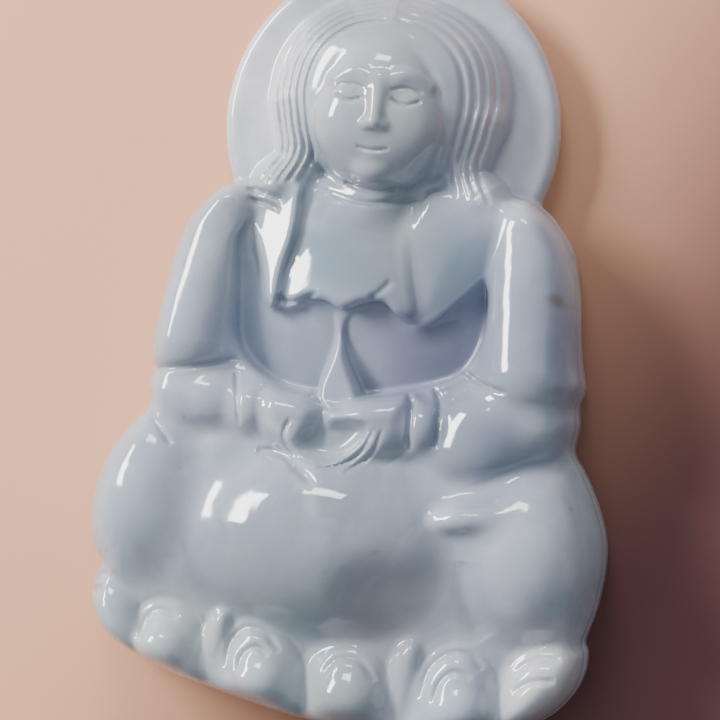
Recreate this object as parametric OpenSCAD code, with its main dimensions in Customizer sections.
// Seated figure on a lotus base, carved in relief from one flat piece of jade.
// The stone is a pendant: a round halo behind the head carries a small cord hole.
// It stands upright along +Z, its front faces -Y and its flat back faces +Y.
// Each carved region is its own closed solid. Neighbours share one seam curve,
// so they meet face to face with no gap and no overlap.
// Lengths are in millimetres.

/* [Size] */
// Height over the halo
figure_height = 57; // [40:0.5:90]
// Width over the knees
figure_width = 38; // [26:0.5:60]
// Thickness from the flat back to the front of the lap
figure_thick = 10.8; // [8:0.1:18]

/* [Halo] */
// Radius of the halo disc
halo_radius = 12.45; // [11.5:0.05:13]
// Thickness of the halo and of the flat back
plate_thick = 2.5; // [1.6:0.1:3.5]
// Rounding of the halo rim
rim_round = 0.9; // [0.2:0.1:1.2]
// Diameter of the cord hole
cord_hole_diameter = 1.3; // [0.8:0.1:1.8]
// Distance from the top of the halo down to the centre of the cord hole
cord_hole_drop = 1.5; // [1.2:0.1:1.8]

/* [Carving] */
// How full the rounded regions are
fullness = 1; // [0.5:0.05:1.3]
// How strongly the face is modelled
face_relief = 1; // [0.5:0.05:1.3]
// How deep the creases of cuffs, hair and petals are
crease_depth = 0.28; // [0:0.02:0.5]

/* [Mesh] */
// Steps along each span of a seam
seam_steps = 3; // [2:1:4]
// Rings from the middle of a region to its seam
rings = 7; // [4:1:9]
// Rings on the face
face_rings = 12; // [8:1:16]

/* [Hidden] */
$fn = 96;

// The seams below are drawn for this size and scaled to the size asked for.
drawn_height = 57;
drawn_width = 38;
drawn_thick = 10.8;
scale_x = figure_width / drawn_width;
scale_z = figure_height / drawn_height;
scale_d = (figure_thick - plate_thick) / (drawn_thick - 2.5);

half_width = figure_width / 2;
back_y = figure_thick / 2;
halo_centre_z = figure_height - halo_radius;
cord_hole_z = figure_height - cord_hole_drop;

// ---- Curves ---------------------------------------------------------------

// One span of a Catmull-Rom curve, at t from 0 to 1
function span_point(a, b, c, d, t) =
    0.5 * (2 * b + (c - a) * t + (2 * a - 5 * b + 4 * c - d) * t * t
    + (3 * b - a - 3 * c + d) * t * t * t);

function sized(p) = [
    max(-half_width, min(half_width, p[0] * scale_x)),
    max(0, min(figure_height, p[1] * scale_z))
];

// A smooth seam through its few points, both ends included
function seam(p) = let (last = len(p) - 1) concat(
    [
        for (i = [0:last - 1])
        for (k = [0:seam_steps - 1])
            sized(span_point(
                i == 0 ? 2 * p[0] - p[1] : p[i - 1],
                p[i],
                p[i + 1],
                i + 1 == last ? 2 * p[last] - p[last - 1] : p[i + 2],
                k / seam_steps
            ))
    ],
    [sized(p[last])]
);

function back(s) = [for (i = [len(s) - 1:-1:0]) s[i]];

// A closed outline from seams that follow each other end to end
function outline(seams) = [for (s = seams) for (i = [0:len(s) - 2]) s[i]];

// ---- Seams of the silhouette, from the left shoulder round to the right ------

edge_arm_left = seam([[-11.4, 39.3], [-12.5, 38.2], [-14, 36.2], [-14.9, 33.5],
    [-15.4, 30], [-15.7, 27], [-15.8, 25.5]]);
edge_sleeve_left = seam([[-15.8, 25.5], [-15.9, 23.8], [-15.6, 22.2]]);
edge_knee_left = seam([[-15.6, 22.2], [-16.6, 20.9], [-18.1, 18.5], [-19, 15.5],
    [-18.9, 12.8], [-18, 10.4]]);
edge_petal_1 = seam([[-18, 10.4], [-18.4, 8.6], [-17.8, 6.3], [-16.4, 4.8], [-12.6, 3]]);
edge_petal_2 = seam([[-12.6, 3], [-10.4, 2.3], [-8, 1.8]]);
edge_petal_3 = seam([[-8, 1.8], [-6.8, 1.5]]);
edge_petal_4 = seam([[-6.8, 1.5], [-4, 0.9], [-1, 0.5]]);
edge_petal_5 = seam([[-1, 0.5], [2, 0.2], [4.6, 0]]);
edge_petal_6 = seam([[4.6, 0], [6.4, 0]]);
edge_petal_7 = seam([[6.4, 0], [9.6, 0.3], [12.2, 1]]);
edge_petal_8 = seam([[12.2, 1], [15.7, 2.7], [17.6, 4.6], [18.4, 6.6], [18.2, 8.6]]);
edge_knee_right = seam([[18.2, 8.6], [18.9, 11.4], [19, 14], [18.8, 16.2], [18, 18.5],
    [16.8, 20.6], [15.9, 22.1]]);
edge_sleeve_right = seam([[15.9, 22.1], [16.1, 24], [15.9, 25.6]]);
edge_arm_right = seam([[15.9, 25.6], [16.1, 26.9], [15.6, 29.6], [15.1, 33.3],
    [14.3, 36.4], [12.9, 38.5], [11.5, 39.5]]);

// ---- Seams between the regions ---------------------------------------------

shoulder_left = seam([[-11.4, 39.3], [-10.3, 39.3], [-9.2, 39]]);
shoulder_right = seam([[9, 39.2], [10.3, 39.5], [11.5, 39.5]]);
face_top = seam([[-5, 44], [-5.4, 46.5], [-4.7, 49.3], [-2.7, 51.1], [-0.2, 51.6],
    [2.3, 51.1], [4.3, 49.3], [5, 46.5], [4.6, 44]]);
hood_top = seam([[-8.4, 44.4], [-8.8, 47.2], [-7.8, 50.6], [-4.6, 53.4], [-0.2, 54.3],
    [4.4, 53.4], [7.6, 50.6], [8.5, 47.2], [8, 44.4]]);
temple_left = seam([[-8.4, 44.4], [-6.7, 44.1], [-5, 44]]);
temple_right = seam([[8, 44.4], [6.3, 44.1], [4.6, 44]]);
jaw_left = seam([[-5, 44], [-4.2, 41.8], [-2.6, 40.3]]);
jaw_right = seam([[4.6, 44], [3.8, 41.8], [2.2, 40.3]]);
chin = seam([[-2.6, 40.3], [-0.2, 39.7], [2.2, 40.3]]);
neck_left = seam([[-2.6, 40.3], [-4, 39.6], [-5.6, 39.2]]);
neck_right = seam([[2.2, 40.3], [3.1, 39.6], [4.1, 39.2]]);
lock_foot_left = seam([[-5.6, 39.2], [-7.4, 39], [-9.2, 39]]);
lock_foot_right = seam([[4.1, 39.2], [6.6, 39], [9, 39.2]]);
lock_side_left = seam([[-9.2, 39], [-8.2, 40.2], [-7.8, 41.6], [-8.1, 43.1], [-8.4, 44.4]]);
lock_side_right = seam([[9, 39.2], [7.9, 40.3], [7.4, 41.6], [7.7, 43.1], [8, 44.4]]);
lapel_left = seam([[-5.6, 39.2], [-5.5, 36], [-5.9, 33], [-6.5, 30.9]]);
lapel_right = seam([[4.1, 39.2], [3.1, 36.2], [3.2, 33.4], [3.7, 30.9]]);
belt_left = seam([[-6.5, 30.9], [-5.3, 30.2], [-3.8, 30.5], [-2.4, 30.4]]);
belt_middle = seam([[-2.4, 30.4], [-1.5, 30.2], [-0.7, 30.4]]);
belt_right = seam([[-0.7, 30.4], [0.8, 30.6], [2.2, 30.4], [3.7, 30.9]]);
sash_left = seam([[-2.4, 30.4], [-2, 28.8], [-2.1, 27.2], [-2.6, 24.9]]);
sash_right = seam([[-0.7, 30.4], [-0.8, 28.8], [-0.5, 27], [0.3, 24.5]]);
sash_foot_left = seam([[-2.6, 24.9], [-1.9, 24.5], [-1.2, 24.3]]);
sash_foot_right = seam([[-1.2, 24.3], [-0.4, 24.3], [0.3, 24.5]]);
armpit_left = seam([[-9.2, 39], [-9.8, 36.5], [-10, 33.5], [-9.9, 30], [-9.4, 26.3]]);
armpit_right = seam([[9, 39.2], [8.6, 37.6], [8.5, 35], [8.8, 32], [8.5, 30], [7.9, 28],
    [6.9, 26.6]]);
elbow_left = seam([[-15.8, 25.5], [-13.5, 25.9], [-11.3, 26.2], [-9.4, 26.3]]);
elbow_right = seam([[6.9, 26.6], [8, 26.9], [10.4, 26.1], [13, 25.7], [15.9, 25.6]]);
sleeve_top_left = seam([[-9.4, 26.3], [-7.6, 25.4], [-5.7, 24.8]]);
sleeve_top_right = seam([[3.9, 25], [5.4, 25.6], [6.9, 26.6]]);
hand_top_left = seam([[-5.7, 24.8], [-4.2, 24.7], [-2.6, 24.9]]);
hand_top_right = seam([[0.3, 24.5], [2.2, 24.6], [3.9, 25]]);
wrist_left = seam([[-5.7, 24.8], [-6.9, 23.3], [-6.6, 21.5], [-5.7, 19.6]]);
wrist_right = seam([[3.9, 25], [4.6, 23], [5.2, 20.8]]);
thumbs = seam([[-1.2, 24.3], [-1.4, 22.4], [-1.6, 20.4], [-2.4, 18.4]]);
palm_left = seam([[-5.7, 19.6], [-4.3, 18.7], [-2.4, 18.4]]);
palm_right = seam([[-2.4, 18.4], [0.9, 18.6], [3.4, 19.5], [5.2, 20.8]]);
hem_left = seam([[-11.4, 19.9], [-8.6, 19.5], [-5.7, 19.6]]);
hem_right = seam([[5.2, 20.8], [5.4, 19.4], [6.8, 18.5], [8.6, 18.4]]);
sleeve_knee_left = seam([[-15.6, 22.2], [-13.6, 20.7], [-11.4, 19.9]]);
sleeve_knee_right = seam([[8.6, 18.4], [10.4, 20.2], [13.2, 21.1], [15.9, 22.1]]);
knee_lap_left = seam([[-11.4, 19.9], [-11.1, 16], [-11.3, 12], [-11, 8.7]]);
knee_lap_right = seam([[8.6, 18.4], [8.9, 15.4], [9.2, 12.4], [9.9, 7.7]]);
knee_foot_1 = seam([[-18, 10.4], [-16, 10.3], [-14.4, 9.6], [-13.4, 8.2]]);
knee_foot_2 = seam([[-13.4, 8.2], [-12.4, 8.6], [-11, 8.7]]);
lap_foot_2 = seam([[-11, 8.7], [-9.5, 8.4], [-8.3, 7.5]]);
lap_foot_3 = seam([[-8.3, 7.5], [-7.6, 7.7], [-6.9, 6.6]]);
lap_foot_4 = seam([[-6.9, 6.6], [-5.6, 6.9], [-4, 6.9], [-2.2, 6.4], [-1.1, 5.3]]);
lap_foot_5 = seam([[-1.1, 5.3], [0.3, 6.3], [2.3, 6.7], [4, 6.5], [5.3, 5.6]]);
lap_foot_6 = seam([[5.3, 5.6], [6.2, 6.7], [7, 6.2]]);
lap_foot_7 = seam([[7, 6.2], [8.2, 7.4], [9.9, 7.7]]);
knee_foot_7 = seam([[9.9, 7.7], [11.6, 7.3], [12.9, 6.2]]);
knee_foot_8 = seam([[12.9, 6.2], [14.3, 7.6], [16.2, 8.2], [18.2, 8.6]]);
petal_seam_1 = seam([[-13.4, 8.2], [-13.6, 5.6], [-12.6, 3]]);
petal_seam_2 = seam([[-8.3, 7.5], [-8.7, 4.6], [-8, 1.8]]);
petal_seam_3 = seam([[-6.9, 6.6], [-7.3, 4], [-6.8, 1.5]]);
petal_seam_4 = seam([[-1.1, 5.3], [-1, 2.9], [-1, 0.5]]);
petal_seam_5 = seam([[5.3, 5.6], [5, 2.9], [4.6, 0]]);
petal_seam_6 = seam([[7, 6.2], [6.9, 3.1], [6.4, 0]]);
petal_seam_7 = seam([[12.9, 6.2], [12.9, 3.6], [12.2, 1]]);

// ---- Relief ------------------------------------------------------------------

// Depth of the seams on the midline, by height: the overall form of the figure
middle_depth = [[0, 5], [3, 6.4], [6, 6.2], [9, 7.1], [14, 8], [18, 7.6], [20, 7.8],
    [24, 6.4], [27, 5.3], [31, 5.5], [36, 5.3], [39, 5], [44, 5.4], [50, 5], [54, 3.6],
    [57, 3]];
// Half width of the figure, by height
side_reach = [[0, 14], [4, 17.6], [10, 19.2], [15, 19.8], [20, 18.4], [25, 16.8],
    [33, 16], [38, 14], [40, 10.5], [47, 10.2], [54, 10], [57, 9]];
// Depth of the seams at the outer edge
edge_depth = 3.6;

function bump(x, z, cx, cz, wx, wz) =
    exp(-pow((x - cx) / wx, 2) - pow((z - cz) / wz, 2));

// Depth of the seams anywhere on the front, for the drawn size
function seam_depth(x, z) =
    let (reach = min(1, abs(x) / lookup(z, side_reach)))
    edge_depth + (lookup(z, middle_depth) - edge_depth) * sqrt(1 - pow(reach, 4));

// The eyes are closed and level, the nose is straight and the mouth is at rest.
function face_form(x, z) =
    let (u = abs(x + 0.2), v = z - 45.6)
    face_relief * (
        0.95 * bump(u, v, 0, -0.9, 0.75, 1.5)
        + 0.35 * bump(u, v, 0, 1.2, 0.5, 1.6)
        + 0.3 * bump(u, v, 0.75, -1.7, 0.5, 0.45)
        + 0.3 * bump(u, v, 2, 1.75, 1.5, 0.4)
        - 0.5 * bump(u, v, 2, 0.85, 1.3, 0.6)
        + 0.22 * bump(u, v, 2, 0.5, 0.95, 0.4)
        + 0.3 * bump(u, v, 0, -3.05, 1.1, 0.3)
        - 0.2 * bump(u, v, 0, -3.35, 1.2, 0.2)
        + 0.35 * bump(u, v, 0, -4.8, 1.1, 0.6)
        + 0.3 * bump(u, v, 2.9, -1.6, 1.3, 1.5)
    );

// The palms lie one on the other with the thumb tips joined over a hollow.
function hand_form(x, z) =
    -1.1 * bump(x, z, -1.7, 20.9, 1.3, 0.9)
    + 0.45 * bump(x, z, -3.9, 21.9, 1.1, 1.4)
    + 0.45 * bump(x, z, 1.1, 21.6, 1.3, 1.3);

// A narrow crease along a line of constant x
function crease(x, at) = -crease_depth * exp(-pow((x - at) / 0.3, 2));

function lap_form(x, z) =
    0.5 * bump(x, z, -6, 15, 4, 4)
    - 1.2 * bump(x, z, 5.4, 8.8, 3.4, 2.6);

function plain(x, z) = 0;

// A point on the front: [x, z] with its depth, turned into the model's frame
function front(p, rise, kind, t) =
    let (x = p[0] / scale_x, z = p[1] / scale_z)
    let (form = kind == "face" ? face_form(x, z)
        : kind == "hand" ? hand_form(x, z)
        : kind == "lap" ? lap_form(x, z)
        : kind == "sleeve left" ? crease(x, -8.5) + crease(x, -9.3)
        : kind == "sleeve right" ? crease(x, 6.2) + crease(x, 7.1)
        : plain(x, z))
    let (d = seam_depth(x, z) + fullness * rise * t + form * min(1, 2.5 * t))
    [p[0], back_y - min(figure_thick, plate_thick + (d - 2.5) * scale_d), p[1]];

function at_plate(p) = [p[0], back_y - plate_thick, p[1]];

// Full in the middle and steep at the seam, for t from 0 to 1
function swell(t) = sqrt(1 - pow(t, 3));

// A region that swells from its seams to its middle.
// The middle has to see every point of the outline.
module pillow(edge, middle, rise, kind = "plain", count = rings) {
    n = len(edge);
    c = sized(middle);
    inner = [
        for (k = [1:count])
        for (p = edge)
            front(c + (p - c) * sin(90 * k / count), rise, kind,
                swell(sin(90 * k / count)))
    ];
    foot = [for (p = edge) at_plate(p)];
    top_middle = (count + 1) * n;
    foot_middle = top_middle + 1;
    points = concat(inner, foot, [front(c, rise, kind, 1)], [at_plate(c)]);
    cap = [for (i = [0:n - 1]) [top_middle, i, (i + 1) % n]];
    wall = [
        for (k = [0:count - 1])
        for (i = [0:n - 1])
        for (f = [0, 1])
            let (j = (i + 1) % n, a = k * n, b = (k + 1) * n)
            f == 0 ? [a + i, b + i, a + j] : [a + j, b + i, b + j]
    ];
    base = [for (i = [0:n - 1]) [foot_middle, count * n + (i + 1) % n, count * n + i]];
    polyhedron(points = points, faces = concat(cap, wall, base), convexity = 6);
}

// A band that swells between two curves of the same number of points.
module band(inner, outer, rise, count = rings) {
    n = len(inner);
    front_rows = [
        for (k = [0:count])
        for (i = [0:n - 1])
            front(inner[i] + (outer[i] - inner[i]) * k / count, rise, "plain",
                sin(180 * k / count))
    ];
    foot_rows = [for (row = [inner, outer]) for (p = row) at_plate(p)];
    foot = (count + 1) * n;
    top = [
        for (k = [0:count - 1])
        for (i = [0:n - 2])
        for (f = [0, 1])
            let (a = k * n + i, b = a + n)
            f == 0 ? [a, b, a + 1] : [a + 1, b, b + 1]
    ];
    base = [
        for (i = [0:n - 2])
        for (f = [0, 1])
            let (a = foot + i, b = a + n)
            f == 0 ? [a, a + 1, b] : [a + 1, b + 1, b]
    ];
    inner_wall = [
        for (i = [0:n - 2])
        for (f = [0, 1])
            f == 0 ? [i, i + 1, foot + i] : [i + 1, foot + i + 1, foot + i]
    ];
    outer_wall = [
        for (i = [0:n - 2])
        for (f = [0, 1])
            let (a = count * n + i, b = foot + n + i)
            f == 0 ? [a, b, a + 1] : [a + 1, b, b + 1]
    ];
    first_end = concat(
        [for (k = [0:count - 1]) [foot, (k + 1) * n, k * n]],
        [[foot, foot + n, count * n]]
    );
    last_end = concat(
        [for (k = [0:count - 1]) [foot + n - 1, (k + 1) * n - 1, (k + 2) * n - 1]],
        [[foot + n - 1, (count + 1) * n - 1, foot + 2 * n - 1]]
    );
    polyhedron(
        points = concat(front_rows, foot_rows),
        faces = concat(top, base, inner_wall, outer_wall, first_end, last_end),
        convexity = 6
    );
}

// ---- Sub-parts -----------------------------------------------------------------

module halo_disc() {
    translate([0, back_y, halo_centre_z])
        rotate([90, 0, 0])
            rotate_extrude() {
                square([halo_radius - rim_round, plate_thick]);
                translate([0, rim_round])
                    square([halo_radius, plate_thick - 2 * rim_round]);
                for (y = [rim_round, plate_thick - rim_round])
                    translate([halo_radius - rim_round, y])
                        circle(rim_round);
            }
}

module halo() {
    color("lavenderblush")
        difference() {
            halo_disc();
            translate([0, back_y + 1, cord_hole_z])
                rotate([90, 0, 0])
                    cylinder(d = cord_hole_diameter, h = plate_thick + 2);
        }
}

module back_plate() {
    body = outline([
        edge_arm_left, edge_sleeve_left, edge_knee_left, edge_petal_1, edge_petal_2,
        edge_petal_3, edge_petal_4, edge_petal_5, edge_petal_6, edge_petal_7,
        edge_petal_8, edge_knee_right, edge_sleeve_right, edge_arm_right,
        back(shoulder_right), back(lock_foot_right), back(neck_right), back(chin),
        neck_left, lock_foot_left, back(shoulder_left)
    ]);
    color("lightsteelblue")
        translate([0, back_y, 0])
            rotate([90, 0, 0])
                linear_extrude(plate_thick)
                    difference() {
                        polygon(body);
                        translate([0, halo_centre_z])
                            circle(halo_radius);
                    }
}

module head() {
    color("lightgray")
        pillow(outline([face_top, jaw_right, back(chin), back(jaw_left)]),
            [-0.2, 45.6], 2.6, "face", face_rings);
}

module hood() {
    color("silver")
        band(face_top, hood_top, 1.3);
}

module hair_lock_left() {
    color("silver")
        pillow(outline([temple_left, jaw_left, neck_left, lock_foot_left,
            lock_side_left]), [-6.4, 41.5], 1);
}

module hair_lock_right() {
    color("silver")
        pillow(outline([back(lock_side_right), back(lock_foot_right),
            back(neck_right), back(jaw_right), back(temple_right)]), [5.9, 41.5], 1);
}

module chest() {
    color("lightgray")
        pillow(outline([back(neck_left), chin, neck_right, lapel_right,
            back(belt_right), back(belt_middle), back(belt_left), back(lapel_left)]),
            [-1.2, 34.6], 0.9);
}

module robe_left() {
    color("lightsteelblue")
        pillow(outline([back(lock_foot_left), lapel_left, belt_left, sash_left,
            back(hand_top_left), back(sleeve_top_left), back(armpit_left)]),
            [-7.6, 29], -0.5);
}

module robe_right() {
    color("lightsteelblue")
        pillow(outline([lock_foot_right, armpit_right, back(sleeve_top_right),
            back(hand_top_right), back(sash_right), belt_right, back(lapel_right)]),
            [5.4, 28], -0.9);
}

module sash() {
    color("lightgray")
        pillow(outline([belt_middle, sash_right, back(sash_foot_right),
            back(sash_foot_left), back(sash_left)]), [-1.3, 27.5], 1);
}

module upper_arm_left() {
    color("lightsteelblue")
        pillow(outline([shoulder_left, armpit_left, back(elbow_left),
            back(edge_arm_left)]), [-12.4, 31.5], 2.5);
}

module upper_arm_right() {
    color("lightsteelblue")
        pillow(outline([shoulder_right, back(edge_arm_right), back(elbow_right),
            back(armpit_right)]), [12, 31.5], 2.5);
}

module forearm_left() {
    color("lightblue")
        pillow(outline([elbow_left, sleeve_top_left, wrist_left, back(hem_left),
            back(sleeve_knee_left), back(edge_sleeve_left)]),
            [-11, 22.8], 2, "sleeve left");
}

module forearm_right() {
    color("lightblue")
        pillow(outline([elbow_right, back(edge_sleeve_right), back(sleeve_knee_right),
            back(hem_right), back(wrist_right), sleeve_top_right]),
            [10.5, 23], 2, "sleeve right");
}

module hand_left() {
    color("lightgray")
        pillow(outline([hand_top_left, sash_foot_left, thumbs, back(palm_left),
            back(wrist_left)]), [-4, 21.6], 1.5, "hand");
}

module hand_right() {
    color("lightgray")
        pillow(outline([sash_foot_right, hand_top_right, wrist_right, back(palm_right),
            back(thumbs)]), [1.5, 21.6], 1.5, "hand");
}

module lap() {
    color("lightsteelblue")
        pillow(outline([hem_left, palm_left, palm_right, hem_right, knee_lap_right,
            back(lap_foot_7), back(lap_foot_6), back(lap_foot_5), back(lap_foot_4),
            back(lap_foot_3), back(lap_foot_2), back(knee_lap_left)]),
            [-1.5, 13], 3, "lap");
}

module knee_left() {
    color("lightblue")
        pillow(outline([sleeve_knee_left, knee_lap_left, back(knee_foot_2),
            back(knee_foot_1), back(edge_knee_left)]), [-15, 14.8], 2.6);
}

module knee_right() {
    color("lightblue")
        pillow(outline([sleeve_knee_right, back(edge_knee_right), back(knee_foot_8),
            back(knee_foot_7), back(knee_lap_right)]), [13.8, 14], 2.8);
}

module petal(edge, middle, rise) {
    color("powderblue")
        pillow(outline(edge), middle, rise, "plain", rings - 1);
}

module lotus_petal_1() {
    petal([knee_foot_1, petal_seam_1, back(edge_petal_1)], [-15.9, 7], 2);
}

module lotus_petal_2() {
    petal([knee_foot_2, lap_foot_2, petal_seam_2, back(edge_petal_2),
        back(petal_seam_1)], [-11, 5.5], 1.9);
}

module lotus_petal_3() {
    petal([lap_foot_3, petal_seam_3, back(edge_petal_3), back(petal_seam_2)],
        [-7.7, 4.6], 0.9);
}

module lotus_petal_4() {
    petal([lap_foot_4, petal_seam_4, back(edge_petal_4), back(petal_seam_3)],
        [-4.1, 3.9], 2);
}

module lotus_petal_5() {
    petal([lap_foot_5, petal_seam_5, back(edge_petal_5), back(petal_seam_4)],
        [2, 3.5], 2);
}

module lotus_petal_6() {
    petal([lap_foot_6, petal_seam_6, back(edge_petal_6), back(petal_seam_5)],
        [5.9, 3.3], 0.9);
}

module lotus_petal_7() {
    petal([lap_foot_7, knee_foot_7, petal_seam_7, back(edge_petal_7),
        back(petal_seam_6)], [9.8, 4.1], 2);
}

module lotus_petal_8() {
    petal([knee_foot_8, back(edge_petal_8), back(petal_seam_7)], [15.4, 5.4], 2);
}

halo();
back_plate();
head();
hood();
hair_lock_left();
hair_lock_right();
chest();
robe_left();
robe_right();
sash();
upper_arm_left();
upper_arm_right();
forearm_left();
forearm_right();
hand_left();
hand_right();
lap();
knee_left();
knee_right();
lotus_petal_1();
lotus_petal_2();
lotus_petal_3();
lotus_petal_4();
lotus_petal_5();
lotus_petal_6();
lotus_petal_7();
lotus_petal_8();
